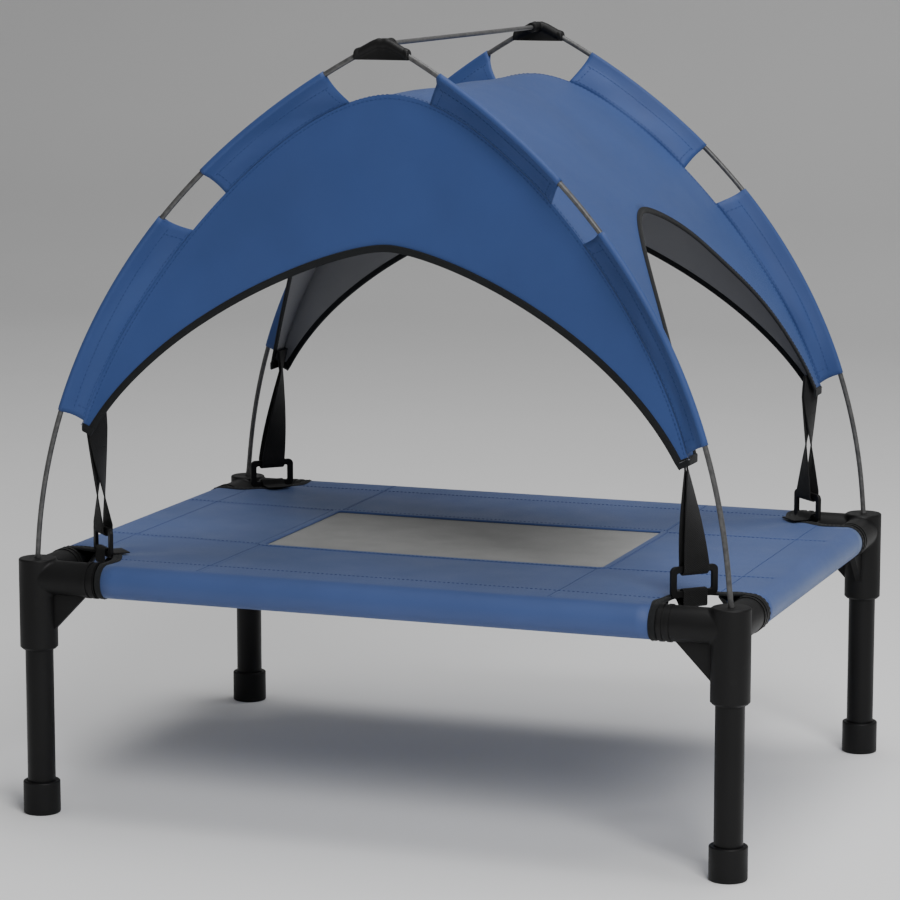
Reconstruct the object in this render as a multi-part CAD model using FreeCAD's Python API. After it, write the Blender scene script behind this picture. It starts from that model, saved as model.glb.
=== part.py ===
import FreeCAD, Part
import math
import os

V = FreeCAD.Vector

# Raised dog bed with a clip-on canopy, millimetres.
# +Z up, +X along the bed's long side, the front faces -Y, origin on the floor under the bed's centre.
# Every corner piece is drawn once, in the +X +Y corner, and mirrored to the other three.

# ---- legs and corner connectors ----
LEG_X = 290.0              # leg axes, half the distance along the bed
LEG_Y = 214.5              # leg axes, half the distance across the bed
LEG_R = 11.4
LEG_WALL = 1.2
LEG_TOP_Z = 190.0
FOOT_R = 15.1
FOOT_H = 27.0
FOOT_FLOOR = 4.0
FOOT_LOW_ROUND = 1.6
FOOT_TOP_ROUND = 1.2
PUSH_CLEARANCE = 0.1       # a tube in the plastic part it is pushed into
SOCKET_R = 15.4
SOCKET_BOTTOM_Z = 137.0
SOCKET_TOP_Z = 211.5
SOCKET_TOP_ROUND = 1.4
SOCKET_LOW_CHAMFER = 1.8
RAIL_Z = 196.0
RAIL_R = 12.5
RAIL_WALL = 1.2
STUB_R = 14.0
STUB_LENGTH = 55.5         # from the leg axis to the stub's mouth
STUB_BORE_START = 21.0
STUB_ROUND = 3.0           # where the stubs run into the socket and into each other
RAIL_END_GAP = 1.5         # between a rail's end and the bottom of its bore
BEAD_WIDTH = 3.0
BEAD_HEIGHT = 0.7
BEAD_OFFSETS = (4.0, 10.0)  # from the stub's mouth back to each bead
WEB_THICK = 5.0
WEB_LENGTH = 28.0          # along the stub, from the socket's wall
WEB_DROP = 29.0            # down the socket, from the stub's underside
WEB_ROOT = 8.0             # how near the leg axis the web reaches inside the socket

# ---- canopy poles, hubs and ridge rod ----
POLE_R = 2.15
POLE_HOLE_R = 2.7
POLE_HOLE_DEPTH = 18.0
POLE_END_GAP = 1.0
POLE_PLUG_LAP = 0.5        # the straight plug runs this far up into the curve
POLE_FOOT = V(LEG_X, LEG_Y, SOCKET_TOP_Z)
POLE_RISE = V(285.5, 218, 229)
POLE_BEND = V(292, 211, 470)
POLE_HEAD = V(19, 188.7, 619.5)
POLE_SLOPE = (POLE_HEAD - POLE_BEND).normalize()
POLE_TIP_X = 10.5
POLE_BORE_GAP = 0.5        # between a rod's end and the bottom of its bore
HUB_ARM_R = 4.2
HUB_ARM_REACH = 22.0       # half the hub's width
HUB_APEX_X = 5.0
HUB_BASE_Z = 615.2
HUB_WEB_THICK = 4.0
RIDGE_R = 1.9
RIDGE_Z = 627.3
RIDGE_ARM_REACH = 19.0
RIDGE_INSERT = 12.0

# ---- bed sling ----
CLOTH = 1.0
SLEEVE_BORE_R = 12.7
SLEEVE_R = SLEEVE_BORE_R + CLOTH
SLING_TOP_Z = RAIL_Z + SLEEVE_R
SLEEVE_CUT = 57.0          # the sleeves end this far from the leg axes
CORNER_DEPTH = 62.3        # leg axis to the middle of the corner cut, measured along the diagonal
WINDOW_X = 147.0
WINDOW_Y = 84.0
MESH_THICK = 0.8
MESH_LAP = 8.0
BINDING_WIDTH = 9.0
BINDING_THICK = 0.9
BINDING_LIP = 0.6          # how far the binding stands out past the cloth's cut edge
BINDING_SLEEVE_GAP = 0.2

# ---- rings, tabs and straps ----
RING_X = 249.6
RING_Y = 176.2
RING_BOTTOM_Z = 209.8
RING_WIDTH = 41.0
RING_HEIGHT = 24.2
RING_BAR = 5.2
RING_THICK = 3.0
RING_CORNER_R = 4.5
RING_WINDOW_R = 1.5
RING_EDGE_R = 0.6
RING_ANGLE = 135.0         # direction of the ring's width from +X, in the +X +Y corner
WEBBING_WIDTH = 22.0
WEBBING_THICK = 1.3
TAB_WIDTH = 21.0
TAB_THICK = 1.0
TAB_GAP = 0.4
TAB_BED_GAP = 0.1          # tab to the corner binding
TAB_SLOPE = 1.2            # the tab comes off the ring's bar this much wider than it goes round it
TAB_TAIL = 17.0            # how far the tab reaches over the bed
FOLD_INNER_R = 3.45        # inside of the strap's fold round the ring's top bar
FOLD_STRAIGHT_Z = 236.0    # the strap runs straight from its fold up to here
STRAP_TOP = V(246.3, 191.5, 314.5)
STRAP_TOP_ANGLE = 70.0
STRAP_SHARES = (0.0, 0.25, 0.5, 0.75, 1.0)
STRAP_CLOSING = 1.5        # power of the share by which the two plies come together
PLY_GAP = 0.2              # between the plies where they are sewn together
FOLD_OPEN_SHARE = 0.85     # the plies are apart up to this share of the strap

# ---- canopy cover ----
ARCH_FOOT = (253.0, 321.0)     # roof arch from the canopy's corner to its crown, (x, z)
ARCH_RISE = (212.6, 446.4)
ARCH_SHOULDER = (81.6, 587.8)
ARCH_CROWN = (0.0, 587.8)
END_Y_AT_FOOT = 205.5          # outer face of the front and back panels, level with the arch's foot
END_LEAN = 0.124               # how much the end panels lean in for each millimetre of height
DOOR_FOOT = (244.5, 314.0)     # arched opening in the front and back panels, (x, z)
DOOR_RISE = (188.0, 410.5)
DOOR_SHOULDER = (43.0, 467.0)
DOOR_CROWN = (0.0, 467.0)
SIDE_FOOT = (185.0, 320.5)     # arched opening in each side of the roof, (y, z)
SIDE_RISE = (155.0, 409.0)
SIDE_SHOULDER = (50.0, 487.0)
SIDE_CROWN = (0.0, 487.0)
COVER_THICK = 1.2
EDGE_WIDTH = 6.0               # black binding round each opening
EDGE_THICK = 0.8
HEM_WIDTH = 6.0                # black tape under each bottom corner
HEM_PROUD = 0.8
HEM_GAP = 0.2
PANEL_GAP = 0.05               # between the roof, the end panels and the tape sewn on them
SIDE_TAPE_GAP = 0.3            # between the roof's curved inner face and the tape inside it
SIDE_TAPE_LIFT = 6.0           # the side tape stops this far above the canopy's corners
TAPE_END_GAP = 0.6             # tape to the roof or end panel that it stops at
TAPE_RISE_SHARE = (0.8, 0.7)   # how an arch's rise handle moves out for each millimetre of tape
INSET_RISE_SHARE = 1.6         # how its handles move in for each millimetre of cloth,
INSET_SHOULDER_SHARE = 0.2     # so that the inner face stays parallel to the outer face

# ---- cutting bodies, all larger than what they trim ----
REACH = 400.0
OVER = 10.0
CUT_LOW_Z = 200.0
CUT_HIGH_Z = 700.0

# ---- canopy fins ----
FIN_THICK = 1.2
FIN_POLE_GAP = 0.4
FIN_SEAM_GAP = 0.8
UPPER_FIN_POLE = (V(46.4, 188.1, 603.4), V(146.9, 199.3, 525.5))   # where a fin's two corners meet the pole
UPPER_FIN_SEAM_Z = (581.2, 508.5)                                  # and the heights where they meet the seam
LOWER_FIN_POLE = (V(180.8, 202.6, 489.1), V(267.6, 211.4, 332.6))
LOWER_FIN_SEAM_Z = (478.5, 324.5)
FIN_STATIONS = 7
SEARCH_STEPS = 40

CORNERS = {"front_left": (-1, -1), "front_right": (1, -1), "back_right": (1, 1), "back_left": (-1, 1)}

nodes = {}


def place(name, shape):
    """Keeps a finished sub-part under its node name."""
    nodes[name] = shape


def mirrored(shape, sx, sy):
    """The +X +Y corner's shape, carried to the corner with these signs."""
    if sx < 0:
        shape = shape.mirror(V(0, 0, 0), V(1, 0, 0))
    if sy < 0:
        shape = shape.mirror(V(0, 0, 0), V(0, 1, 0))
    return shape


def cylinder(radius, start, end):
    axis = end - start
    return Part.makeCylinder(radius, axis.Length, start, axis)


def bezier(points):
    curve = Part.BezierCurve()
    curve.setPoles(points)
    return curve


def closed_face(edges):
    return Part.Face(Part.Wire(Part.__sortEdges__(edges)))


def slab_at(face, z, thickness):
    """A flat face drawn at z=0, carried up to z and given a thickness."""
    face = face.copy()
    face.translate(V(0, 0, z))
    return face.extrude(V(0, 0, thickness))


def arch_point(arch, t):
    """A point on a 2D arch given by four control points, foot at t=0 and crown at t=1."""
    weights = ((1 - t) ** 3, 3 * (1 - t) ** 2 * t, 3 * (1 - t) * t * t, t ** 3)
    return (
        sum(w * p[0] for w, p in zip(weights, arch)),
        sum(w * p[1] for w, p in zip(weights, arch)),
    )


def arch_normal(arch, t):
    """The arch's outward unit normal."""
    step = 0.001
    a = arch_point(arch, max(t - step, 0.0))
    b = arch_point(arch, min(t + step, 1.0))
    length = math.hypot(b[0] - a[0], b[1] - a[1])
    return ((b[1] - a[1]) / length, -(b[0] - a[0]) / length)


def inner_arch(arch, depth):
    """The same arch moved inwards, near enough parallel to it."""
    foot, rise, shoulder, crown = arch
    nx, nz = arch_normal(arch, 0.0)
    return (
        (foot[0] - nx * depth, foot[1] - nz * depth),
        (rise[0] - nx * depth, rise[1] - nz * depth * INSET_RISE_SHARE),
        (shoulder[0] - depth * INSET_SHOULDER_SHARE, shoulder[1] - depth),
        (crown[0], crown[1] - depth),
    )


ROOF_ARCH = (ARCH_FOOT, ARCH_RISE, ARCH_SHOULDER, ARCH_CROWN)
DOOR_ARCH = (DOOR_FOOT, DOOR_RISE, DOOR_SHOULDER, DOOR_CROWN)
SIDE_ARCH = (SIDE_FOOT, SIDE_RISE, SIDE_SHOULDER, SIDE_CROWN)


def arch_wire(arch, plane, floor_z):
    """Closed outline of a whole arch, both halves, shut by straight lines down to floor_z."""
    def at(point, side):
        if plane == "XZ":
            return V(side * point[0], 0, point[1])
        return V(0, side * point[0], point[1])

    right = [at(p, 1) for p in arch]
    left = [at(p, -1) for p in arch]
    low_right = V(right[0].x, right[0].y, floor_z)
    low_left = V(left[0].x, left[0].y, floor_z)
    edges = [
        bezier(right).toShape(),
        bezier(left[::-1]).toShape(),
        Part.makeLine(left[0], low_left),
        Part.makeLine(low_left, low_right),
        Part.makeLine(low_right, right[0]),
    ]
    return Part.Wire(Part.__sortEdges__(edges))


def arch_prism(arch, plane, half_length=REACH, floor_z=CUT_LOW_Z):
    """Solid under a whole arch, run along Y (plane XZ) or along X (plane YZ)."""
    face = Part.Face(arch_wire(arch, plane, floor_z))
    direction = V(0, 1, 0) if plane == "XZ" else V(1, 0, 0)
    face.translate(direction * -half_length)
    return face.extrude(direction * 2 * half_length)


def end_y(z):
    """How far the outer faces of the front and back panels are from the middle at this height."""
    return END_Y_AT_FOOT - (z - ARCH_FOOT[1]) * END_LEAN


def end_slab(outer_inset, thickness, sign):
    """A slab along the leaning plane of the front (sign -1) or back (sign 1) panel."""
    low_y = end_y(CUT_LOW_Z) - outer_inset
    high_y = end_y(CUT_HIGH_Z) - outer_inset
    outline = [
        V(-REACH, sign * low_y, CUT_LOW_Z),
        V(-REACH, sign * high_y, CUT_HIGH_Z),
        V(-REACH, sign * (high_y - thickness), CUT_HIGH_Z),
        V(-REACH, sign * (low_y - thickness), CUT_LOW_Z),
    ]
    face = Part.Face(Part.makePolygon(outline + outline[:1]))
    return face.extrude(V(2 * REACH, 0, 0))


def outside_of_panels(gap):
    """Everything outside the two end panels' inner faces, and gap more."""
    return [end_slab(-REACH, REACH + COVER_THICK + gap, sign) for sign in (1, -1)]


# ---------------------------------------------------------------- frame

def leg():
    bottom = V(LEG_X, LEG_Y, FOOT_FLOOR)
    top = V(LEG_X, LEG_Y, LEG_TOP_Z)
    return cylinder(LEG_R, bottom, top).cut(cylinder(LEG_R - LEG_WALL, bottom, top))


def rims(body, z):
    """The body's round edges that lie level at this height."""
    return [e for e in body.Edges if e.Closed and abs(e.BoundBox.ZMin - z) + abs(e.BoundBox.ZMax - z) < 0.1]


def foot_cap():
    body = cylinder(FOOT_R, V(LEG_X, LEG_Y, 0), V(LEG_X, LEG_Y, FOOT_H))
    body = body.makeFillet(FOOT_LOW_ROUND, rims(body, 0))
    body = body.makeFillet(FOOT_TOP_ROUND, rims(body, FOOT_H))
    bore = cylinder(LEG_R + PUSH_CLEARANCE, V(LEG_X, LEG_Y, FOOT_FLOOR), V(LEG_X, LEG_Y, FOOT_H + OVER))
    return body.cut(bore)


def web(direction):
    """Triangular gusset between a stub's underside and the socket."""
    axis = V(LEG_X, LEG_Y, RAIL_Z)
    side = V(direction.y, -direction.x, 0)
    low_z = -STUB_R - WEB_DROP
    outline = [
        axis + direction * WEB_ROOT,
        axis + direction * (SOCKET_R + WEB_LENGTH),
        axis + direction * (SOCKET_R + WEB_LENGTH) + V(0, 0, -STUB_R + 1),
        axis + direction * (SOCKET_R - 1) + V(0, 0, low_z),
        axis + direction * WEB_ROOT + V(0, 0, low_z),
    ]
    face = Part.Face(Part.makePolygon(outline + outline[:1]))
    face.translate(side * (-WEB_THICK / 2))
    return face.extrude(side * WEB_THICK)


def connector():
    """Socket on the leg's top with a stub for each rail, and a hole for the canopy's pole."""
    axis_low = V(LEG_X, LEG_Y, SOCKET_BOTTOM_Z)
    axis_top = V(LEG_X, LEG_Y, SOCKET_TOP_Z)
    rail_root = V(LEG_X, LEG_Y, RAIL_Z)
    inward = (V(-1, 0, 0), V(0, -1, 0))
    body = cylinder(SOCKET_R, axis_low, axis_top)
    body = body.makeFillet(SOCKET_TOP_ROUND, rims(body, SOCKET_TOP_Z))
    body = body.makeChamfer(SOCKET_LOW_CHAMFER, rims(body, SOCKET_BOTTOM_Z))
    for direction in inward:
        body = body.fuse(cylinder(STUB_R, rail_root, rail_root + direction * STUB_LENGTH))
    body = body.removeSplitter()
    meeting = [e for e in body.Edges if type(e.Curve).__name__ not in ("Line", "Circle")]
    body = body.makeFillet(STUB_ROUND, meeting)
    for direction in inward:
        mouth = rail_root + direction * STUB_LENGTH
        for offset in BEAD_OFFSETS:
            start = mouth - direction * offset
            body = body.fuse(cylinder(STUB_R + BEAD_HEIGHT, start, start + direction * BEAD_WIDTH))
        body = body.fuse(web(direction))
    body = body.removeSplitter()
    for direction in inward:
        start = rail_root + direction * STUB_BORE_START
        end = rail_root + direction * (STUB_LENGTH + OVER)
        body = body.cut(cylinder(RAIL_R + PUSH_CLEARANCE, start, end))
    leg_bore = cylinder(LEG_R + PUSH_CLEARANCE, axis_low - V(0, 0, OVER), V(LEG_X, LEG_Y, LEG_TOP_Z))
    pole_hole = cylinder(POLE_HOLE_R, axis_top - V(0, 0, POLE_HOLE_DEPTH), axis_top + V(0, 0, OVER))
    return body.cut(leg_bore).cut(pole_hole)


def rail(along_x, side):
    inset = STUB_BORE_START + RAIL_END_GAP
    if along_x:
        start = V(-LEG_X + inset, side * LEG_Y, RAIL_Z)
        end = V(LEG_X - inset, side * LEG_Y, RAIL_Z)
    else:
        start = V(side * LEG_X, -LEG_Y + inset, RAIL_Z)
        end = V(side * LEG_X, LEG_Y - inset, RAIL_Z)
    return cylinder(RAIL_R, start, end).cut(cylinder(RAIL_R - RAIL_WALL, start, end))


# ---------------------------------------------------------------- sling

def corner_arc(extra):
    """The hollowed corner cut of the sling, moved towards the bed's middle by extra."""
    end = SLEEVE_CUT + extra
    mid = (CORNER_DEPTH + extra) / math.sqrt(2)
    return (
        V(LEG_X - end, LEG_Y, 0),
        V(LEG_X - mid, LEG_Y - mid, 0),
        V(LEG_X, LEG_Y - end, 0),
    )


def sling_outline():
    """Flat top of the sling, out to the rail axes, with a hollowed cut at each corner."""
    first, middle, last = corner_arc(0)
    edges = []
    for sx, sy in ((1, 1), (-1, 1), (-1, -1), (1, -1)):
        a, m, b = [V(p.x * sx, p.y * sy, 0) for p in (first, middle, last)]
        edges.append(Part.Arc(a, m, b).toShape())
    straight_x = LEG_X - SLEEVE_CUT
    straight_y = LEG_Y - SLEEVE_CUT
    for side in (1, -1):
        edges.append(Part.makeLine(V(-straight_x, side * LEG_Y, 0), V(straight_x, side * LEG_Y, 0)))
        edges.append(Part.makeLine(V(side * LEG_X, -straight_y, 0), V(side * LEG_X, straight_y, 0)))
    return closed_face(edges)


def sleeve_ends(along_x, side):
    if along_x:
        reach = LEG_X - SLEEVE_CUT
        return V(-reach, side * LEG_Y, RAIL_Z), V(reach, side * LEG_Y, RAIL_Z)
    reach = LEG_Y - SLEEVE_CUT
    return V(side * LEG_X, -reach, RAIL_Z), V(side * LEG_X, reach, RAIL_Z)


SLEEVES = [sleeve_ends(along_x, side) for along_x in (True, False) for side in (-1, 1)]


def without_rail_bores(body, radius):
    """The body with a round hole of this radius cut along each of the four rails."""
    for start, end in SLEEVES:
        over = (end - start).normalize() * SLEEVE_CUT
        body = body.cut(cylinder(radius, start - over, end + over))
    return body


def sling():
    body = sling_outline()
    body.translate(V(0, 0, SLING_TOP_Z - CLOTH))
    body = body.extrude(V(0, 0, CLOTH))
    body = body.cut(Part.makeBox(2 * WINDOW_X, 2 * WINDOW_Y, REACH, V(-WINDOW_X, -WINDOW_Y, 0)))
    for start, end in SLEEVES:
        body = body.fuse(cylinder(SLEEVE_R, start, end))
    return without_rail_bores(body, SLEEVE_BORE_R).removeSplitter()


def mesh_panel():
    half_x = WINDOW_X + MESH_LAP
    half_y = WINDOW_Y + MESH_LAP
    low_z = SLING_TOP_Z - CLOTH - MESH_THICK
    return Part.makeBox(2 * half_x, 2 * half_y, MESH_THICK, V(-half_x, -half_y, low_z))


def arc_band(outer, inner):
    """Flat face between two of the corner cut's arcs."""
    return closed_face([
        Part.Arc(*outer).toShape(),
        Part.makeLine(outer[2], inner[2]),
        Part.Arc(*inner).toShape(),
        Part.makeLine(inner[0], outer[0]),
    ])


def corner_binding():
    """Webbing folded over the sling's corner cut: a strip on top of the cloth, one under it and the fold."""
    strip = arc_band(corner_arc(0), corner_arc(BINDING_WIDTH))
    fold = arc_band(corner_arc(-BINDING_LIP), corner_arc(0))
    under_z = SLING_TOP_Z - CLOTH - BINDING_THICK
    body = slab_at(strip, SLING_TOP_Z, BINDING_THICK)
    body = body.fuse(slab_at(strip, under_z, BINDING_THICK))
    body = body.fuse(slab_at(fold, under_z, CLOTH + 2 * BINDING_THICK))
    body = without_rail_bores(body, SLEEVE_R + BINDING_SLEEVE_GAP)
    return body.common(Part.makeBox(LEG_X, LEG_Y, REACH, V(0, 0, 0)))


# ---------------------------------------------------------------- rings and webbing

def corner_frame(angle_deg, centre):
    """Placement whose local X runs along angle_deg, local Y to its left and local Z up."""
    return FreeCAD.Placement(centre, FreeCAD.Rotation(V(0, 0, 1), angle_deg))


def rounded_rectangle(width, height, radius):
    """Face in the local XZ plane, centred on the origin."""
    w = width / 2
    h = height / 2
    k = radius * (1 - math.sqrt(0.5))
    edges = []
    for sx, sz in ((1, 1), (-1, 1), (-1, -1), (1, -1)):
        edges.append(Part.Arc(
            V(sx * w, 0, sz * (h - radius)),
            V(sx * (w - k), 0, sz * (h - k)),
            V(sx * (w - radius), 0, sz * h),
        ).toShape())
    for side in (1, -1):
        edges.append(Part.makeLine(V(-w + radius, 0, side * h), V(w - radius, 0, side * h)))
        edges.append(Part.makeLine(V(side * w, 0, -h + radius), V(side * w, 0, h - radius)))
    return closed_face(edges)


RING_PLACE = corner_frame(RING_ANGLE, V(RING_X, RING_Y, RING_BOTTOM_Z + RING_HEIGHT / 2))
PIVOT_Z = RING_BOTTOM_Z + RING_HEIGHT - RING_BAR / 2


def ring():
    outer = rounded_rectangle(RING_WIDTH, RING_HEIGHT, RING_CORNER_R)
    window = rounded_rectangle(RING_WIDTH - 2 * RING_BAR, RING_HEIGHT - 2 * RING_BAR, RING_WINDOW_R)
    face = outer.cut(window)
    face.translate(V(0, -RING_THICK / 2, 0))
    body = face.extrude(V(0, RING_THICK, 0)).Solids[0]
    rims = [e for e in body.Edges if e.BoundBox.YLength < 0.01]
    body = body.makeFillet(RING_EDGE_R, rims)
    body.Placement = RING_PLACE
    return body


def prism_in_ring_frame(outline, width):
    """Prism along the ring's width, from an outline of (across, z) points with z absolute."""
    points = [V(-width / 2, a, z) for a, z in outline]
    body = Part.Face(Part.makePolygon(points + points[:1])).extrude(V(width, 0, 0))
    body.Placement = corner_frame(RING_ANGLE, V(RING_X, RING_Y, 0))
    return body


def ring_tab():
    """Webbing from the bed's corner, round the ring's bottom bar and back under the bed.

    Across is positive towards the bed's middle.
    """
    bar_top = RING_BOTTOM_Z + RING_BAR
    bed_top = SLING_TOP_Z + BINDING_THICK + TAB_BED_GAP
    bed_low = SLING_TOP_Z - CLOTH - BINDING_THICK - TAB_BED_GAP
    gap = TAB_GAP
    t = TAB_THICK
    near = RING_THICK / 2 + gap
    slope = near + TAB_SLOPE
    inner = [
        (TAB_TAIL, bed_top),
        (slope, bed_top),
        (near, bar_top + gap),
        (-near, bar_top + gap),
        (-near, RING_BOTTOM_Z - gap),
        (near, bed_low),
        (TAB_TAIL, bed_low),
    ]
    outer = [
        (TAB_TAIL, bed_top + t),
        (slope + t, bed_top + t),
        (near + t, bar_top + gap + t),
        (-near - t, bar_top + gap + t),
        (-near - t, RING_BOTTOM_Z - gap - t),
        (near, bed_low - t),
        (TAB_TAIL, bed_low - t),
    ]
    return prism_in_ring_frame(outer + inner[::-1], TAB_WIDTH)


def strap_section(share, thickness, width):
    """A rectangle across the strap, at a share of the way from its fold to its sewn top."""
    low = V(RING_X, RING_Y, FOLD_STRAIGHT_Z)
    angle = RING_ANGLE + (STRAP_TOP_ANGLE - RING_ANGLE) * share
    place_at = corner_frame(angle, low + (STRAP_TOP - low) * share)
    half_w = width / 2
    half_t = thickness / 2
    corners = [V(-half_w, -half_t, 0), V(half_w, -half_t, 0), V(half_w, half_t, 0), V(-half_w, half_t, 0)]
    points = [place_at.multVec(p) for p in corners]
    return Part.makePolygon(points + points[:1])


def strap_loft(inset, width, top_share):
    """Both plies of the twisted strap as one lens-shaped bar, made thinner by inset on each face."""
    full = 2 * (FOLD_INNER_R + WEBBING_THICK)
    closed = 2 * WEBBING_THICK + PLY_GAP
    sections = []
    for share in STRAP_SHARES:
        at = share * top_share
        thickness = full + (closed - full) * at ** STRAP_CLOSING
        sections.append(strap_section(at, thickness - 2 * inset, width))
    return Part.makeLoft(sections, True, False)


def fold(radius, width):
    """Round end below the ring's top bar and the straight part above it, as a solid bar."""
    pivot = V(RING_X, RING_Y, PIVOT_Z)
    along = V(math.cos(math.radians(RING_ANGLE)), math.sin(math.radians(RING_ANGLE)), 0)
    round_end = cylinder(radius, pivot - along * width / 2, pivot + along * width / 2)
    box = Part.makeBox(width, 2 * radius, FOLD_STRAIGHT_Z - PIVOT_Z, V(-width / 2, -radius, 0))
    box.Placement = corner_frame(RING_ANGLE, pivot).multiply(box.Placement)
    return round_end.fuse(box)


def strap():
    """Webbing folded round the ring's top bar, its two plies twisting up to the canopy's corner."""
    wide = WEBBING_WIDTH + OVER
    body = fold(FOLD_INNER_R + WEBBING_THICK, WEBBING_WIDTH).fuse(strap_loft(0, WEBBING_WIDTH, 1.0))
    return body.cut(fold(FOLD_INNER_R, wide)).cut(strap_loft(WEBBING_THICK, wide, FOLD_OPEN_SHARE))


# ---------------------------------------------------------------- poles, hubs, ridge

def pole_curve():
    return bezier([POLE_FOOT, POLE_RISE, POLE_BEND, POLE_HEAD])


def on_pole_line(x):
    """The point at x on the straight line that carries the pole on into the hub."""
    return POLE_HEAD + POLE_SLOPE * ((POLE_HEAD.x - x) / -POLE_SLOPE.x)


def pole_tip():
    """Where the pole ends inside the hub's arm."""
    return on_pole_line(POLE_TIP_X)


def pole():
    """Curved rod from the bottom of its hole in the connector to its end in the hub."""
    curve = pole_curve()
    circle = Part.Wire(Part.makeCircle(POLE_R, POLE_FOOT, curve.tangent(0)[0]))
    body = Part.Wire([curve.toShape()]).makePipeShell([circle], True, True)
    plug_end = POLE_FOOT - V(0, 0, POLE_HOLE_DEPTH - POLE_END_GAP)
    body = body.fuse(cylinder(POLE_R, plug_end, POLE_FOOT + V(0, 0, POLE_PLUG_LAP)))
    body = body.fuse(Part.makeSphere(POLE_R, POLE_FOOT))
    return body.fuse(cylinder(POLE_R, POLE_HEAD, pole_tip()))


RIDGE_HALF = on_pole_line(HUB_APEX_X).y - RIDGE_ARM_REACH + RIDGE_INSERT


def with_mirror(shape):
    """The shape and its mirror image across the YZ plane."""
    return shape.fuse(shape.mirror(V(0, 0, 0), V(1, 0, 0)))


def hub():
    """Three-way boot at the top of a pole pair, drawn for the back pair."""
    end = on_pole_line(HUB_ARM_REACH)
    apex = on_pole_line(HUB_APEX_X)
    over_apex = V(0, apex.y, RIDGE_Z)
    mouth = V(0, apex.y - RIDGE_ARM_REACH, RIDGE_Z)
    arm = cylinder(HUB_ARM_R, end, apex).fuse(Part.makeSphere(HUB_ARM_R, apex))
    bridge = cylinder(HUB_ARM_R, apex, V(-apex.x, apex.y, apex.z))
    outline = [
        V(end.x, apex.y, HUB_BASE_Z),
        V(apex.x, apex.y, apex.z),
        V(-apex.x, apex.y, apex.z),
        V(-end.x, apex.y, HUB_BASE_Z),
    ]
    middle = Part.Face(Part.makePolygon(outline + outline[:1]))
    middle.translate(V(0, -HUB_WEB_THICK / 2, 0))
    body = with_mirror(arm).fuse(bridge).fuse(middle.extrude(V(0, HUB_WEB_THICK, 0)))
    body = body.fuse(cylinder(HUB_ARM_R, over_apex, mouth))
    body = body.cut(Part.makeBox(2 * REACH, 2 * REACH, REACH, V(-REACH, -REACH, HUB_BASE_Z - REACH)))
    arm_bore_end = pole_tip() + POLE_SLOPE * POLE_BORE_GAP
    arm_bore = cylinder(POLE_R + PUSH_CLEARANCE, end - POLE_SLOPE * OVER, arm_bore_end)
    bore_end = V(0, RIDGE_HALF + POLE_BORE_GAP, RIDGE_Z)
    ridge_bore = cylinder(RIDGE_R + PUSH_CLEARANCE, bore_end, mouth - V(0, OVER, 0))
    return body.cut(with_mirror(arm_bore)).cut(ridge_bore)


def ridge_rod():
    return cylinder(RIDGE_R, V(0, -RIDGE_HALF, RIDGE_Z), V(0, RIDGE_HALF, RIDGE_Z))


# ---------------------------------------------------------------- canopy cover

def above_corner(shape, low_z=ARCH_FOOT[1]):
    """Cuts off everything below the canopy's bottom corners."""
    return shape.cut(Part.makeBox(2 * REACH, 2 * REACH, REACH, V(-REACH, -REACH, low_z - REACH)))


def canopy_roof():
    """Roof and both side walls: one cloth band over the arches, with an arched opening in each side."""
    inner = arch_prism(inner_arch(ROOF_ARCH, COVER_THICK), "XZ", REACH + OVER)
    band = arch_prism(ROOF_ARCH, "XZ").cut(inner)
    for slab in outside_of_panels(PANEL_GAP):
        band = band.cut(slab)
    return above_corner(band.cut(arch_prism(SIDE_ARCH, "YZ")))


def canopy_end(sign):
    """Front or back panel: the leaning end wall under the roof arch, with an arched opening."""
    wall = arch_prism(ROOF_ARCH, "XZ").cut(arch_prism(DOOR_ARCH, "XZ", REACH + OVER))
    return above_corner(wall.common(end_slab(0, COVER_THICK, sign)))


def widened(arch, amount):
    """A larger arch round an opening."""
    foot, rise, shoulder, crown = arch
    share_out, share_up = TAPE_RISE_SHARE
    return (
        (foot[0] + amount, foot[1]),
        (rise[0] + amount * share_out, rise[1] + amount * share_up),
        (shoulder[0], shoulder[1] + amount),
        (crown[0], crown[1] + amount),
    )


def edge_band(arch, plane):
    """The tape's width round an opening, run right through the canopy."""
    return arch_prism(widened(arch, EDGE_WIDTH), plane).cut(arch_prism(arch, plane, REACH + OVER))


def door_binding(sign):
    """Black tape round the front or back opening, on the panel's outer face."""
    strip = edge_band(DOOR_ARCH, "XZ").common(end_slab(-EDGE_THICK - PANEL_GAP, EDGE_THICK, sign))
    return above_corner(strip.common(arch_prism(inner_arch(ROOF_ARCH, COVER_THICK + TAPE_END_GAP), "XZ")))


def side_binding(sign):
    """Black tape round a side opening, on the roof's inner face."""
    depth = COVER_THICK + SIDE_TAPE_GAP
    outer = arch_prism(inner_arch(ROOF_ARCH, depth), "XZ")
    inner = arch_prism(inner_arch(ROOF_ARCH, depth + EDGE_THICK), "XZ", REACH + OVER)
    strip = outer.cut(inner).common(edge_band(SIDE_ARCH, "YZ"))
    strip = strip.common(Part.makeBox(REACH, 2 * REACH, CUT_HIGH_Z, V(0 if sign > 0 else -REACH, -REACH, 0)))
    for slab in outside_of_panels(TAPE_END_GAP):
        strip = strip.cut(slab)
    return above_corner(strip, ARCH_FOOT[1] + SIDE_TAPE_LIFT)


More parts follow.
